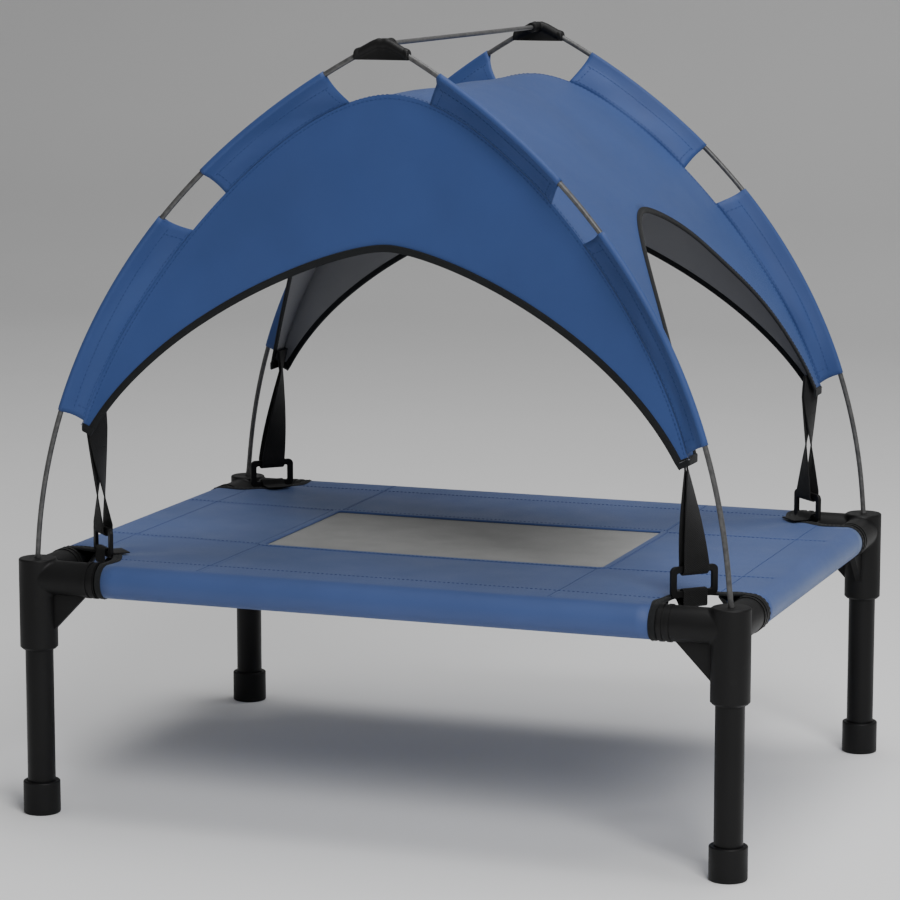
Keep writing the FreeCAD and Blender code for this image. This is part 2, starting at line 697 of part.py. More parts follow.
def corner_hem():
    """Black tape under the canopy's bottom corner, along the end panel and the roof."""
    corner_x = ARCH_FOOT[0] + HEM_PROUD
    corner_y = END_Y_AT_FOOT + HEM_PROUD
    arm_x = DOOR_FOOT[0]
    arm_y = SIDE_FOOT[0]
    thick = COVER_THICK + 2 * HEM_PROUD
    outline = [
        V(arm_x, corner_y, 0),
        V(corner_x, corner_y, 0),
        V(corner_x, arm_y, 0),
        V(corner_x - thick, arm_y, 0),
        V(corner_x - thick, corner_y - thick, 0),
        V(arm_x, corner_y - thick, 0),
    ]
    face = Part.Face(Part.makePolygon(outline + outline[:1]))
    return slab_at(face, ARCH_FOOT[1] - HEM_GAP - HEM_WIDTH, HEM_WIDTH)


# ---------------------------------------------------------------- canopy fins

def fin(pole_corners, seam_heights):
    """Cloth web from a pole in to the canopy's seam, lofted through strips across it."""
    curve = pole_curve()
    pole_from, pole_to = [curve.parameter(corner) for corner in pole_corners]
    seam_from, seam_to = [seam_share(z) for z in seam_heights]
    sections = []
    for i in range(FIN_STATIONS):
        share = i / (FIN_STATIONS - 1)
        at = pole_from + (pole_to - pole_from) * share
        on_pole = curve.value(at)
        on_seam = seam_point(seam_from + (seam_to - seam_from) * share)
        across = (on_seam - on_pole).normalize()
        start = on_pole + across * (POLE_R + FIN_POLE_GAP)
        stop = on_seam - across * FIN_SEAM_GAP
        side = across.cross(curve.tangent(at)[0]).normalize() * (FIN_THICK / 2)
        points = [start + side, stop + side, stop - side, start - side]
        sections.append(Part.makePolygon(points + points[:1]))
    return Part.makeLoft(sections, True, False)


def seam_point(t):
    """A point where the roof meets the back panel."""
    x, z = arch_point(ROOF_ARCH, t)
    return V(x, end_y(z), z)


def seam_share(z):
    """The seam's parameter at this height."""
    low = 0.0
    high = 1.0
    for _ in range(SEARCH_STEPS):
        middle = (low + high) / 2
        if seam_point(middle).z < z:
            low = middle
        else:
            high = middle
    return low


# ---------------------------------------------------------------- assembly

def build():
    corner_parts = {
        "leg": leg(),
        "foot_cap": foot_cap(),
        "connector": connector(),
        "corner_binding": corner_binding(),
        "ring_tab": ring_tab(),
        "ring": ring(),
        "strap": strap(),
        "pole": pole(),
        "upper_fin": fin(UPPER_FIN_POLE, UPPER_FIN_SEAM_Z),
        "lower_fin": fin(LOWER_FIN_POLE, LOWER_FIN_SEAM_Z),
    }
    for corner, (sx, sy) in CORNERS.items():
        for name, shape in corner_parts.items():
            place(f"{name}_{corner}", mirrored(shape, sx, sy))
    place("rail_front", rail(True, -1))
    place("rail_back", rail(True, 1))
    place("rail_left", rail(False, -1))
    place("rail_right", rail(False, 1))
    place("bed_sling", sling())
    place("mesh_panel", mesh_panel())
    back_hub = hub()
    place("hub_back", back_hub)
    place("hub_front", mirrored(back_hub, 1, -1))
    place("ridge_rod", ridge_rod())
    place("canopy_roof", canopy_roof())
    place("canopy_back", canopy_end(1))
    place("canopy_front", canopy_end(-1))
    place("door_binding_back", door_binding(1))
    place("door_binding_front", door_binding(-1))
    place("side_binding_right", side_binding(1))
    place("side_binding_left", side_binding(-1))
    hem = corner_hem()
    place("corner_hems", Part.makeCompound([mirrored(hem, sx, sy) for sx, sy in CORNERS.values()]))


def export():
    os.makedirs("parts", exist_ok=True)
    for name, shape in nodes.items():
        solids = shape.Solids
        sound = all(s.isValid() and s.isClosed() for s in solids)
        print(f"{name:28s} solids {len(solids)} volume {shape.Volume / 1000:9.3f} cm3 sound {sound}")
        (solids[0] if len(solids) == 1 else Part.makeCompound(solids)).exportStep(f"parts/{name}.step")
    everything = Part.makeCompound(list(nodes.values())).BoundBox
    print("size", round(everything.XLength, 1), round(everything.YLength, 1), round(everything.ZLength, 1))


build()
export()
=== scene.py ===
import math

import bmesh
import bpy
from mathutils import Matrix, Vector


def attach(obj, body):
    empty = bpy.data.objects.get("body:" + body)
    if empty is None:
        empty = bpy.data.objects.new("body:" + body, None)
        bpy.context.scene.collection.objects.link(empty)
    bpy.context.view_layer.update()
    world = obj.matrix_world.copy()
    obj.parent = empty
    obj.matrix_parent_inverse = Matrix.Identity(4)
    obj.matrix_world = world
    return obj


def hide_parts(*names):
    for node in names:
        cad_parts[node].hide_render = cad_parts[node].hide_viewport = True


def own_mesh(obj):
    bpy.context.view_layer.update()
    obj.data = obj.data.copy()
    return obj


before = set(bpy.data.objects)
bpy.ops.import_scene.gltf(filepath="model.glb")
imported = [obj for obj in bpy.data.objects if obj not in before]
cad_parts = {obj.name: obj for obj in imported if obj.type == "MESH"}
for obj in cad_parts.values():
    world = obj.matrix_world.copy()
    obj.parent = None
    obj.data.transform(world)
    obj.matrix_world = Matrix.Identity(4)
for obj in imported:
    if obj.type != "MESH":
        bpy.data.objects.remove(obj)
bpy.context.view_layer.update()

MM = 0.001
CORNERS = {"front_left": (-1, -1), "front_right": (1, -1), "back_right": (1, 1), "back_left": (-1, 1)}

# ---- frame and bed, millimetres ----
LEG_X = 290.0
LEG_Y = 214.5
RAIL_Z = 196.0
SLEEVE_R = 13.7
BED_TOP_Z = 209.7
SLEEVE_CUT = 57.0          # the sleeves end this far from the leg axes
CORNER_DEPTH = 62.3        # leg axis to the middle of the corner cut
WINDOW_X = 147.0
WINDOW_Y = 84.0
BED_SAG = 2.0
BED_FOLD = 0.9
BED_CLOTH = 0.95
UNDER_SEAM = Vector((-26.0, 11.2))   # where a sleeve's under ply is sewn, from the rail's axis

# ---- canopy, millimetres ----
POLE = [Vector(p) for p in ((290, 214.5, 211.5), (285.5, 218, 229), (292, 211, 470), (19, 188.7, 619.5))]
POLE_R = 2.15
ROOF_ARCH = [Vector(p) for p in ((253, 321), (212.6, 446.4), (81.6, 587.8), (0, 587.8))]
DOOR_ARCH = [Vector(p) for p in ((244.5, 314), (188, 410.5), (43, 467), (0, 467))]
SIDE_ARCH = [Vector(p) for p in ((185, 320.5), (155, 409), (50, 487), (0, 487))]
END_Y = 205.5
END_LEAN = 0.124
WALL_HOLLOW = 5.0
WALL_FOOT_Z = 316.5          # the end walls' lower edge dips to this at the door
COVER_CLOTH = 1.0
UPPER_FIN = ((603.4, 581.2), (525.5, 508.5))     # heights on the pole and on the seam, at each end
LOWER_FIN = ((489.1, 478.5), (332.6, 324.5))
FIN_CLOTH = 0.5
FIN_HOLLOW = 0.8           # how far a fin's end edges curve in
FIN_CHANNEL = 7.5          # pole's axis to the stitching that closes its sleeve

# ---- rings and webbing, millimetres ----
RING = Vector((249.6, 176.2, 0))
RING_BOTTOM_Z = 209.8
RING_BAR = 5.2
RING_TOP_BAR_Z = 231.4
RING_ANGLE = 135.0
WEBBING = 22.0
WEBBING_THICK = 1.2
FOLD_R = 4.1
TAB_LOW_Z = 201.5          # the slack tab hangs down to here in front of the bed's corner
FOLD_STRAIGHT_Z = 236.0
STRAP_TOP = Vector((246.3, 191.5, 315.0))
STRAP_TOP_ANGLE = 70.0
STRAP_END = Vector((244.6, 191.0, 333.0))   # sewn end, inside the canopy's side band
STRAP_END_ANGLE = 88.0


# ---------------------------------------------------------------- curves

def bez(p, t):
    s = 1 - t
    return p[0] * s ** 3 + p[1] * (3 * s * s * t) + p[2] * (3 * s * t * t) + p[3] * t ** 3


def at_height(arch, z):
    """The parameter of a rising curve where its last coordinate is z."""
    low, high = 0.0, 1.0
    for _ in range(40):
        middle = (low + high) / 2
        if bez(arch, middle)[-1] < z:
            low = middle
        else:
            high = middle
    return low


def seam_y(z):
    return END_Y - END_LEAN * (z - ROOF_ARCH[0].y)


def seam_point(t):
    p = bez(ROOF_ARCH, t)
    return Vector((p.x, seam_y(p.y), p.y))


def spread(n):
    return [i / (n - 1) for i in range(n)]


def turned(angle):
    return Vector((math.cos(math.radians(angle)), math.sin(math.radians(angle)), 0))


def flipped(p, sx, sy):
    return Vector((p[0] * sx, p[1] * sy, p[2]))


def walk(points, step):
    """Points every step along a polyline, with the index and share they fall on."""
    found = []
    left = step / 2
    for i in range(len(points) - 1):
        length = (points[i + 1] - points[i]).length
        while left <= length:
            found.append((i, left / length))
            left += step
        left -= length
    return found


# ---------------------------------------------------------------- meshes

def add_patch(bm, rows, wrap=False, caps=False, maps=None):
    """Quads over rows of points. The UV layer holds metres along and across, unless maps gives each point's own."""
    layer = bm.loops.layers.uv.verify()
    grid = [[bm.verts.new(p) for p in row] for row in rows]
    columns = len(rows[0])
    along = [0.0]
    for a, b in zip(rows, rows[1:]):
        along.append(along[-1] + (b[columns // 2] - a[columns // 2]).length * MM)
    middle = rows[len(rows) // 2]
    across = [0.0]
    for i in range(columns if wrap else columns - 1):
        across.append(across[-1] + (middle[(i + 1) % columns] - middle[i]).length * MM)
    for i in range(len(rows) - 1):
        for j in range(columns if wrap else columns - 1):
            k = (j + 1) % columns
            face = bm.faces.new((grid[i][j], grid[i][k], grid[i + 1][k], grid[i + 1][j]))
            face.smooth = True
            if maps:
                uvs = (maps[i][j], maps[i][k], maps[i + 1][k], maps[i + 1][j])
            else:
                uvs = ((along[i], across[j]), (along[i], across[j + 1]),
                       (along[i + 1], across[j + 1]), (along[i + 1], across[j]))
            for loop, uv in zip(face.loops, uvs):
                loop[layer].uv = uv
    if caps:
        for row in (grid[0][::-1], grid[-1]):
            bm.faces.new(row)
    return grid


def finish_mesh(name, bm, materials, outward_from=None, weld=0.01, sharp=0.6):
    """Turns a bmesh in millimetres into an object in metres, its faces outwards from a point if one is given."""
    bmesh.ops.remove_doubles(bm, verts=bm.verts, dist=weld)
    bmesh.ops.dissolve_degenerate(bm, dist=weld / 2, edges=bm.edges)
    bmesh.ops.recalc_face_normals(bm, faces=bm.faces)
    if outward_from is not None:
        votes = sum(f.calc_area() * f.normal.dot(f.calc_center_median() - outward_from) for f in bm.faces)
        if votes < 0:
            bmesh.ops.reverse_faces(bm, faces=bm.faces)
    for edge in bm.edges:
        if len(edge.link_faces) == 2 and edge.calc_face_angle(0) > sharp:
            edge.smooth = False
    bmesh.ops.scale(bm, vec=(MM, MM, MM), verts=bm.verts)
    mesh = bpy.data.meshes.new(name)
    bm.to_mesh(mesh)
    bm.free()
    mesh.uv_layers[0].name = "cloth"
    for material in materials:
        mesh.materials.append(material)
    piece = bpy.data.objects.new(name, mesh)
    bpy.context.scene.collection.objects.link(piece)
    return piece


def thicken(piece, thickness, offset=-1.0, inner=0, rim=0):
    solid = piece.modifiers.new("cloth", "SOLIDIFY")
    solid.thickness = thickness * MM
    solid.offset = offset
    solid.material_offset = inner
    solid.material_offset_rim = rim
    return piece


def swept(bm, frames, profile):
    """A closed profile run along frames of (origin, first axis, second axis)."""
    rows = [[o + a * p + b * q for p, q in profile] for o, a, b in frames]
    add_patch(bm, rows, wrap=True, caps=True)


def flat_profile(start, stop, thick, round_steps=5):
    """A flat strip's outline with rounded edges, from start to stop."""
    r = thick / 2
    points = []
    for i in range(round_steps):
        a = math.radians(-90 + 180 * i / (round_steps - 1))
        points.append((stop - r + r * math.cos(a), r * math.sin(a)))
    for i in range(round_steps):
        a = math.radians(90 + 180 * i / (round_steps - 1))
        points.append((start + r + r * math.cos(a), r * math.sin(a)))
    return points


def edge_frames(edge, inward):
    """Frames along a cloth's edge: first axis into the cloth, second along its normal."""
    frames = []
    for i, p in enumerate(edge):
        tangent = (edge[min(i + 1, len(edge) - 1)] - edge[max(i - 1, 0)]).normalized()
        into = inward[i] - tangent * inward[i].dot(tangent)
        into.normalize()
        frames.append((p, into, tangent.cross(into)))
    return frames


def softened(directions, rounds):
    for _ in range(rounds):
        middle = [(a + b * 2 + c).normalized() for a, b, c in zip(directions, directions[1:], directions[2:])]
        directions = [directions[0], *middle, directions[-1]]
    return directions


STITCH = {"canopy": [], "bed": [], "black": []}
STITCH_STEP = 3.8
STITCH_LONG = 2.5
STITCH_R = 0.3


def sew(kind, points, normals, lift):
    """Marks a row of stitches along points, lying lift above them."""
    for i, share in walk(points, STITCH_STEP):
        along = (points[i + 1] - points[i]).normalized()
        p = points[i].lerp(points[i + 1], share)
        n = normals[i].lerp(normals[i + 1], share).normalized()
        STITCH[kind].append((p + n * lift, along, n))


def stitch_piece(name, marks, material, body):
    bm = bmesh.new()
    for p, along, n in marks:
        side = along.cross(n)
        rings = []
        for share, size in ((-0.5, 0.35), (-0.3, 1.0), (0.3, 1.0), (0.5, 0.35)):
            centre = p + along * (STITCH_LONG * share) - n * (0.0 if abs(share) < 0.4 else 0.18)
            rings.append([centre + side * (math.cos(a) * STITCH_R * size) + n * (math.sin(a) * STITCH_R * size)
                          for a in (0.5, 1.57, 2.64, 3.67, 5.76)])
        add_patch(bm, rings, wrap=True, caps=True)
    piece = finish_mesh(name, bm, [material], weld=0.0001, sharp=3)
    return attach(piece, body)


# ---------------------------------------------------------------- materials

class Nodes:
    """A small builder for one procedural material."""

    def __init__(self, name, roughness, metallic=0.0, specular=0.5):
        self.material = bpy.data.materials.new(name)
        self.material.use_nodes = True
        self.tree = self.material.node_tree
        self.shader = self.tree.nodes["Principled BSDF"]
        self.shader.inputs["Roughness"].default_value = roughness
        self.shader.inputs["Metallic"].default_value = metallic
        self.shader.inputs["Specular IOR Level"].default_value = specular

    def add(self, kind, **sockets):
        node = self.tree.nodes.new(kind)
        for key, value in sockets.items():
            if key in ("operation", "uv_map", "blend_type", "data_type", "bands_direction", "noise_dimensions"):
                setattr(node, key, value)
            elif isinstance(value, bpy.types.NodeSocket):
                self.tree.links.new(value, node.inputs[int(key[1:]) if key[1:].isdigit() else key])
            else:
                node.inputs[int(key[1:]) if key[1:].isdigit() else key].default_value = value
        return node

    def math(self, operation, a, b=0.0):
        return self.add("ShaderNodeMath", operation=operation, _0=a, _1=b).outputs[0]

    def noise(self, scale, detail=3.0, vector=None):
        vector = vector or self.add("ShaderNodeTexCoord").outputs["Object"]
        return self.add("ShaderNodeTexNoise", Vector=vector, Scale=scale, Detail=detail).outputs["Fac"]

    def ramp(self, value, low, high, a=0.0, b=1.0):
        node = self.tree.nodes.new("ShaderNodeMapRange")
        self.tree.links.new(value, node.inputs[0])
        for index, number in zip((1, 2, 3, 4), (low, high, a, b)):
            node.inputs[index].default_value = number
        return node.outputs[0]

    def mix(self, share, a, b):
        node = self.tree.nodes.new("ShaderNodeMix")
        node.data_type = "RGBA"
        self.tree.links.new(share, node.inputs["Factor"])
        for key, value in (("A", a), ("B", b)):
            socket = next(s for s in node.inputs if s.name == key and s.type == "RGBA")
            if isinstance(value, bpy.types.NodeSocket):
                self.tree.links.new(value, socket)
            else:
                socket.default_value = (*value, 1.0)
        return next(s for s in node.outputs if s.type == "RGBA")

    def colour(self, value):
        self.tree.links.new(value, self.shader.inputs["Base Color"])

    def rough(self, value):
        self.tree.links.new(value, self.shader.inputs["Roughness"])

    def bump(self, height, distance, strength=1.0):
        node = self.add("ShaderNodeBump", Height=height, Distance=distance, Strength=strength)
        self.tree.links.new(node.outputs[0], self.shader.inputs["Normal"])

    def weave(self, pitch, second=None):
        """0 to 1 over a plain weave of that pitch, in metres, on the piece's own cloth map."""
        uv = self.add("ShaderNodeUVMap", uv_map="cloth").outputs[0]
        parts = self.add("ShaderNodeSeparateXYZ", Vector=uv).outputs
        waves = []
        for axis, size in ((0, pitch), (1, second or pitch)):
            waves.append(self.math("SINE", self.math("MULTIPLY", parts[axis], 2 * math.pi / size)))
        both = self.math("MULTIPLY", waves[0], waves[1])
        return self.math("MULTIPLY_ADD", both, 0.5), waves, parts


def shade(colour, factor):
    return tuple(c * factor for c in colour)


def cloth_material(name, colour, roughness, sheen, pitch, spread_low=0.9, spread_high=1.1, tint=(1, 1, 1)):
    """Woven cloth: plain weave, sheen, and slow and fine changes of colour."""
    m = Nodes(name, roughness, specular=0.35)
    m.shader.inputs["Sheen Weight"].default_value = sheen
    m.shader.inputs["Sheen Roughness"].default_value = 0.45
    m.shader.inputs["Sheen Tint"].default_value = (*tint, 1.0)
    slow = m.ramp(m.noise(9.0, 4.0), 0.3, 0.7)
    base = m.mix(slow, shade(colour, spread_low), shade(colour, spread_high))
    weave = m.weave(pitch)[0]
    m.colour(m.mix(m.ramp(weave, 0.0, 0.5, 0.0, 0.16), base, shade(colour, 1.45)))
    fine = m.noise(900.0, 2.0)
    m.rough(m.ramp(m.noise(25.0, 3.0), 0.3, 0.7, roughness - 0.05, roughness + 0.06))
    m.bump(m.math("ADD", weave, m.math("MULTIPLY", fine, 0.35)), pitch * 0.16, 0.55)
    return m.material


def webbing_material(name, colour, ribs=0.0021):
    """Narrow woven webbing: ribs along it and a fine cross weave."""
    m = Nodes(name, 0.72, specular=0.2)
    m.shader.inputs["Sheen Weight"].default_value = 0.05
    m.shader.inputs["Sheen Roughness"].default_value = 0.5
    weave = m.weave(ribs * 0.8, ribs)[0]
    base = m.mix(m.ramp(m.noise(60.0), 0.3, 0.7), shade(colour, 0.8), shade(colour, 1.3))
    m.colour(m.mix(m.ramp(weave, 0.0, 0.5, 0.0, 0.3), base, shade(colour, 1.9)))
    m.bump(weave, ribs * 0.2, 0.8)
    return m.material


def mesh_material(name):
    """Open textile mesh: crossed coated threads, with painted shade in the small holes between them."""
    m = Nodes(name, 0.62, specular=0.3)
    weave, waves, _ = m.weave(0.0036)
    squares = m.math("MULTIPLY", m.math("ABSOLUTE", waves[0]), m.math("ABSOLUTE", waves[1]))
    # painted shade: the holes between the threads are coloured flat dark grey in place of the shade seen through
    # them
    painted_hole_shade = m.ramp(squares, 0.62, 0.86)
    thread = m.mix(m.ramp(m.noise(40.0), 0.3, 0.7), (0.36, 0.361, 0.354), (0.42, 0.421, 0.412))
    m.colour(m.mix(painted_hole_shade, thread, (0.2, 0.2, 0.2)))
    m.bump(m.math("SUBTRACT", 1.0, squares), 0.0004, 0.7)
    return m.material


def hard_material(name, colour, roughness, grain, metallic=0.0, worn=None, scale=14.0):
    """Moulded plastic or coated tube: fine grain, uneven gloss and faint scuffs."""
    m = Nodes(name, roughness, metallic=metallic, specular=0.22)
    uneven = m.ramp(m.noise(scale, 4.0), 0.3, 0.7)
    base = m.mix(uneven, shade(colour, 0.85), shade(colour, 1.15))
    scuff = m.ramp(m.noise(scale * 7, 6.0), 0.66, 0.74)
    m.colour(m.mix(m.math("MULTIPLY", scuff, 0.35), base, worn or shade(colour, 2.0)))
    m.rough(m.ramp(m.noise(scale * 2, 3.0), 0.3, 0.7, roughness - 0.06, roughness + 0.08))
    m.bump(m.noise(1400.0, 2.0), grain, 0.5)
    return m.material


def rod_material(name):
    """Pulled fibre rod: dark grey with fine lengthways streaks."""
    m = Nodes(name, 0.38, specular=0.5)
    streak = m.ramp(m.noise(260.0, 4.0), 0.35, 0.65)
    m.colour(m.mix(streak, (0.045, 0.045, 0.046), (0.085, 0.085, 0.084)))
    m.bump(m.noise(900.0, 2.0), 0.00006, 0.6)
    return m.material


NAVY = (0.026, 0.058, 0.185)
MAT = {
    "canopy": cloth_material("canopy_cloth", NAVY, 0.56, 0.12, 0.0011, tint=(0.6, 0.75, 1.0)),
    "lining": cloth_material("canopy_lining", (0.2, 0.203, 0.212), 0.6, 0.08, 0.0011),
    "bed": cloth_material("bed_cloth", (0.043, 0.077, 0.212), 0.5, 0.2, 0.0013, tint=(0.6, 0.75, 1.0)),
    "mesh": mesh_material("grey_mesh_cloth"),
    "binding": webbing_material("edge_tape", (0.0065, 0.0072, 0.008), 0.0016),
    "webbing": webbing_material("strap_webbing", (0.0075, 0.0075, 0.0078)),
    "thread_canopy": hard_material("canopy_thread", (0.022, 0.05, 0.165), 0.6, 0.00005, scale=90.0),
    "thread_bed": hard_material("bed_thread", (0.032, 0.063, 0.185), 0.6, 0.00005, scale=90.0),
    "thread_black": hard_material("black_thread", (0.011, 0.011, 0.012), 0.6, 0.00005, scale=90.0),
    "plastic": hard_material("moulded_plastic", (0.0055, 0.0055, 0.0057), 0.5, 0.00016),
    "steel": hard_material("coated_steel", (0.006, 0.006, 0.0062), 0.42, 0.00008, metallic=0.1),
    "rod": rod_material("fibre_rod"),
}


# ---------------------------------------------------------------- canopy cover

def cloth_wave(x, y, z):
    """Small unevenness of hung cloth, in millimetres."""
    return (0.34 * math.sin(x / 31 + y / 23) + 0.26 * math.sin(y / 17 - z / 29 + 1.3)
            + 0.22 * math.sin(x / 13 + z / 19 + 0.4))


def roof_levels():
    """(x, z, y of the opening) up one side of the roof, foot first."""
    first = at_height(SIDE_ARCH, SIDE_ARCH[0].y + 0.3)
    levels = [(ROOF_ARCH[0].x, ROOF_ARCH[0].y, SIDE_ARCH[0].x)]
    for share in spread(30):
        side = bez(SIDE_ARCH, first + (1 - first) * share)
        levels.append((bez(ROOF_ARCH, at_height(ROOF_ARCH, side.y)).x, side.y, max(side.x, 0.0)))
    top = at_height(ROOF_ARCH, SIDE_ARCH[3].y)
    for share in spread(24)[1:]:
        roof = bez(ROOF_ARCH, top + (1 - top) * share)
        levels.append((max(roof.x, 0.0), roof.y, 0.0))
    return levels


def roof_normal(x, z, sx):
    t = at_height(ROOF_ARCH, z) if x > 1 else 1.0
    a = bez(ROOF_ARCH, max(t - 0.01, 0))
    b = bez(ROOF_ARCH, min(t + 0.01, 1))
    d = (b - a).normalized()
    return Vector((sx * d.y, 0, -d.x)) if d.y > 0 else Vector((0, 0, 1))


def roof_row(level, sx, sy, columns):
    x, z, y_open = level
    normal = roof_normal(x, z, sx)
    row = []
    for share in spread(columns):
        y = sy * (y_open + (seam_y(z) - y_open) * share)
        edge = min(1.0, (1 - share) * 6)
        row.append(Vector((sx * x, y, z)) + normal * (cloth_wave(sx * x, y, z) * edge - 0.4 * edge))
    return row


def wall_row(level, sx, sy, columns):
    """From the seam down to the opening in the front or back wall."""
    x, z, _ = level
    t = at_height(ROOF_ARCH, z) if x > 0.01 else 1.0
    low = at_height(DOOR_ARCH, WALL_FOOT_Z)
    door = bez(DOOR_ARCH, low + (1 - low) * t)
    hollow = WALL_HOLLOW * (1 - (door.x / DOOR_ARCH[0].x) ** 2)
    top = Vector((sx * x, sy * seam_y(z), z))
    end = Vector((sx * door.x, sy * (seam_y(door.y) - hollow), door.y))
    row = []
    for share in spread(columns):
        p = top.lerp(end, share)
        p.y += sy * (cloth_wave(p.x, 0, p.z) - 0.5) * min(1.0, share * 5)
        row.append(p)
    return row


def canopy_cover():
    """Roof, sides and both end walls as one cloth, with its lining and seam stitches."""
    levels = roof_levels()
    columns = 15
    wall_columns = 13
    bm = bmesh.new()
    rows = {}
    downs = [0.0]
    for (x, z, _), (next_x, next_z, _) in zip(levels[::-1], levels[-2::-1]):
        downs.append(downs[-1] + math.hypot(next_x - x, next_z - z))
    downs.reverse()
    for sx in (1, -1):
        for sy in (1, -1):
            rows["roof", sx, sy] = [roof_row(level, sx, sy, columns) for level in levels]
            rows["wall", sx, sy] = [wall_row(level, sx, sy, wall_columns) for level in levels]
            roof_maps = [[(sx * down * MM, p.y * MM) for p in row] for row, down in zip(rows["roof", sx, sy], downs)]
            wall_maps = [[(p.x * MM, p.z * MM) for p in row] for row in rows["wall", sx, sy]]
            add_patch(bm, rows["roof", sx, sy], maps=roof_maps)
            add_patch(bm, rows["wall", sx, sy], maps=wall_maps)
    cover = finish_mesh("canopy_cover", bm, [MAT["canopy"], MAT["lining"]], Vector((0, 0, 380)), weld=0.05)
    thicken(cover, COVER_CLOTH, inner=1, rim=0)
    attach(cover, "canopy")
    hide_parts("canopy_roof", "canopy_front", "canopy_back")
    for (kind, sx, sy), patch in rows.items():
        if kind == "roof":
            line = [row[-1] + (row[-2] - row[-1]).normalized() * 3.0 for row in patch]
            normals = [roof_normal(x, z, sx) for x, z, _ in levels]
        else:
            line = [row[0] + (row[1] - row[0]).normalized() * 3.0 for row in patch]
            normals = [Vector((0, sy, END_LEAN)).normalized()] * len(patch)
        sew("canopy", line, normals, 0.12)
    return cover, rows, levels


def opening_tape(name, edge, into, node):
    frames = edge_frames(edge, into)
    bm = bmesh.new()
    swept(bm, frames, flat_profile(-0.8, 5.0, 2.2))
    tape = finish_mesh(name, bm, [MAT["binding"]], sharp=1.2)
    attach(tape, "canopy")
    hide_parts(node)
    line = [p + a * 3.6 for p, a, b in frames]
    for sign in (1, -1):
        sew("black", line, [b * sign for p, a, b in frames], 1.12)
    return tape


def door_tape(rows, name, sy):
    """Binding round the arched opening of the front or back wall."""
    right = rows["wall", 1, sy]
    left = rows["wall", -1, sy]
    patch = right + left[-2::-1]
    edge = [row[-1] for row in patch]
    into = [(row[-2] - row[-1]).normalized() for row in patch]
    return opening_tape(f"door_edge_{name}", edge, into, f"door_binding_{name}")


def side_tape(rows, levels, name, sx):
    """Binding round the arched opening in one side of the roof."""
    top = [level[2] for level in levels].index(0.0)
    halves = []
    for sy in (1, -1):
        half = []
        for i, row in enumerate(rows["roof", sx, sy][:top + 1]):
            share = i / top
            side = (row[1] - row[0]).normalized()
            up = Vector((-sx * 0.5, 0, 0.85)) * (0.15 + share) if i else Vector()
            half.append((row[0], (side * (1 - share ** 3) + up).normalized()))
        halves.append(half)
    whole = halves[0] + halves[1][-2::-1]
    into = softened([direction for _, direction in whole], 4)
    return opening_tape(f"side_edge_{name}", [p for p, _ in whole], into, f"side_binding_{name}")


def corner_hem_tapes():
    """Tape round the canopy's four bottom corners, from the door's edge to the side opening's."""
    bm = bmesh.new()
    inset = 0.4
    corner = Vector((ROOF_ARCH[0].x - inset, END_Y - inset, ROOF_ARCH[0].y))
    low = at_height(DOOR_ARCH, WALL_FOOT_Z)
    door = Vector((bez(DOOR_ARCH, low).x - 0.6, END_Y - inset, WALL_FOOT_Z))
    door_up = (bez(DOOR_ARCH, low + 0.05) - bez(DOOR_ARCH, low)).normalized()
    side = Vector((ROOF_ARCH[0].x - inset, SIDE_ARCH[0].x - 1.0, SIDE_ARCH[0].y + 0.3))
    bend = 2.0
    before = corner + (door - corner).normalized() * bend
    after = corner + (side - corner).normalized() * bend
    turn = [before * (1 - t) ** 2 + corner * (2 * t * (1 - t)) + after * t ** 2 for t in spread(5)]
    path = [door, door.lerp(before, 0.5), *turn, after.lerp(side, 0.3), after.lerp(side, 0.7), side]
    into = [Vector((door_up.x, 0, door_up.y))] + [Vector((0, 0, 1))] * (len(path) - 1)
    profile = flat_profile(-5.6, 1.6, 2.2)
    for sx, sy in CORNERS.values():
        edge = [flipped(p, sx, sy) for p in path]
        frames = edge_frames(edge, [Vector((0, 0, 1))] * len(edge))
        rows = [[p + flipped(up, sx, sy) * u + out * v for u, v in profile]
                for (p, _, out), up in zip(frames, into)]
        add_patch(bm, rows, wrap=True, caps=True)
    hems = finish_mesh("corner_hem_tapes", bm, [MAT["binding"]], weld=0.0001, sharp=1.2)
    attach(hems, "canopy")
    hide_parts("corner_hems")
    return hems


# ---------------------------------------------------------------- fins

def fin_lines(ends):
    """Parameters on the pole and on the seam at both ends of a fin."""
    (pole_a, seam_a), (pole_b, seam_b) = ends
    on_pole = at_height(POLE, pole_a), at_height(POLE, pole_b)
    on_seam = at_height(ROOF_ARCH, seam_a), at_height(ROOF_ARCH, seam_b)
    return *on_pole, *on_seam


def fin_frame(lines, share):
    pole_a, pole_b, seam_a, seam_b = lines
    t = pole_a + (pole_b - pole_a) * share
    on_pole = bez(POLE, t)
    tangent = (bez(POLE, min(t + 0.01, 1)) - bez(POLE, max(t - 0.01, 0))).normalized()
    on_seam = seam_point(seam_a + (seam_b - seam_a) * share)
    across = on_seam - on_pole
    length = across.length
    across.normalize()
    return on_pole, across, across.cross(tangent).normalized(), length


def fin_section(length):
    """(distance from the pole's axis, offset to the side, share across) round a sleeve's section."""
    r = POLE_R + 0.55
    ply = 0.34
    straight = []
    for i in range(9):
        base = length + 0.5
        straight.append((base - (base - FIN_CHANNEL) * i / 8, ply))
    wrap = []
    for i in range(15):
        a = math.radians(68 + (292 - 68) * i / 14)
        wrap.append((r * math.cos(a), r * math.sin(a)))
    return straight + wrap + [(c, -h) for c, h in straight[::-1]]


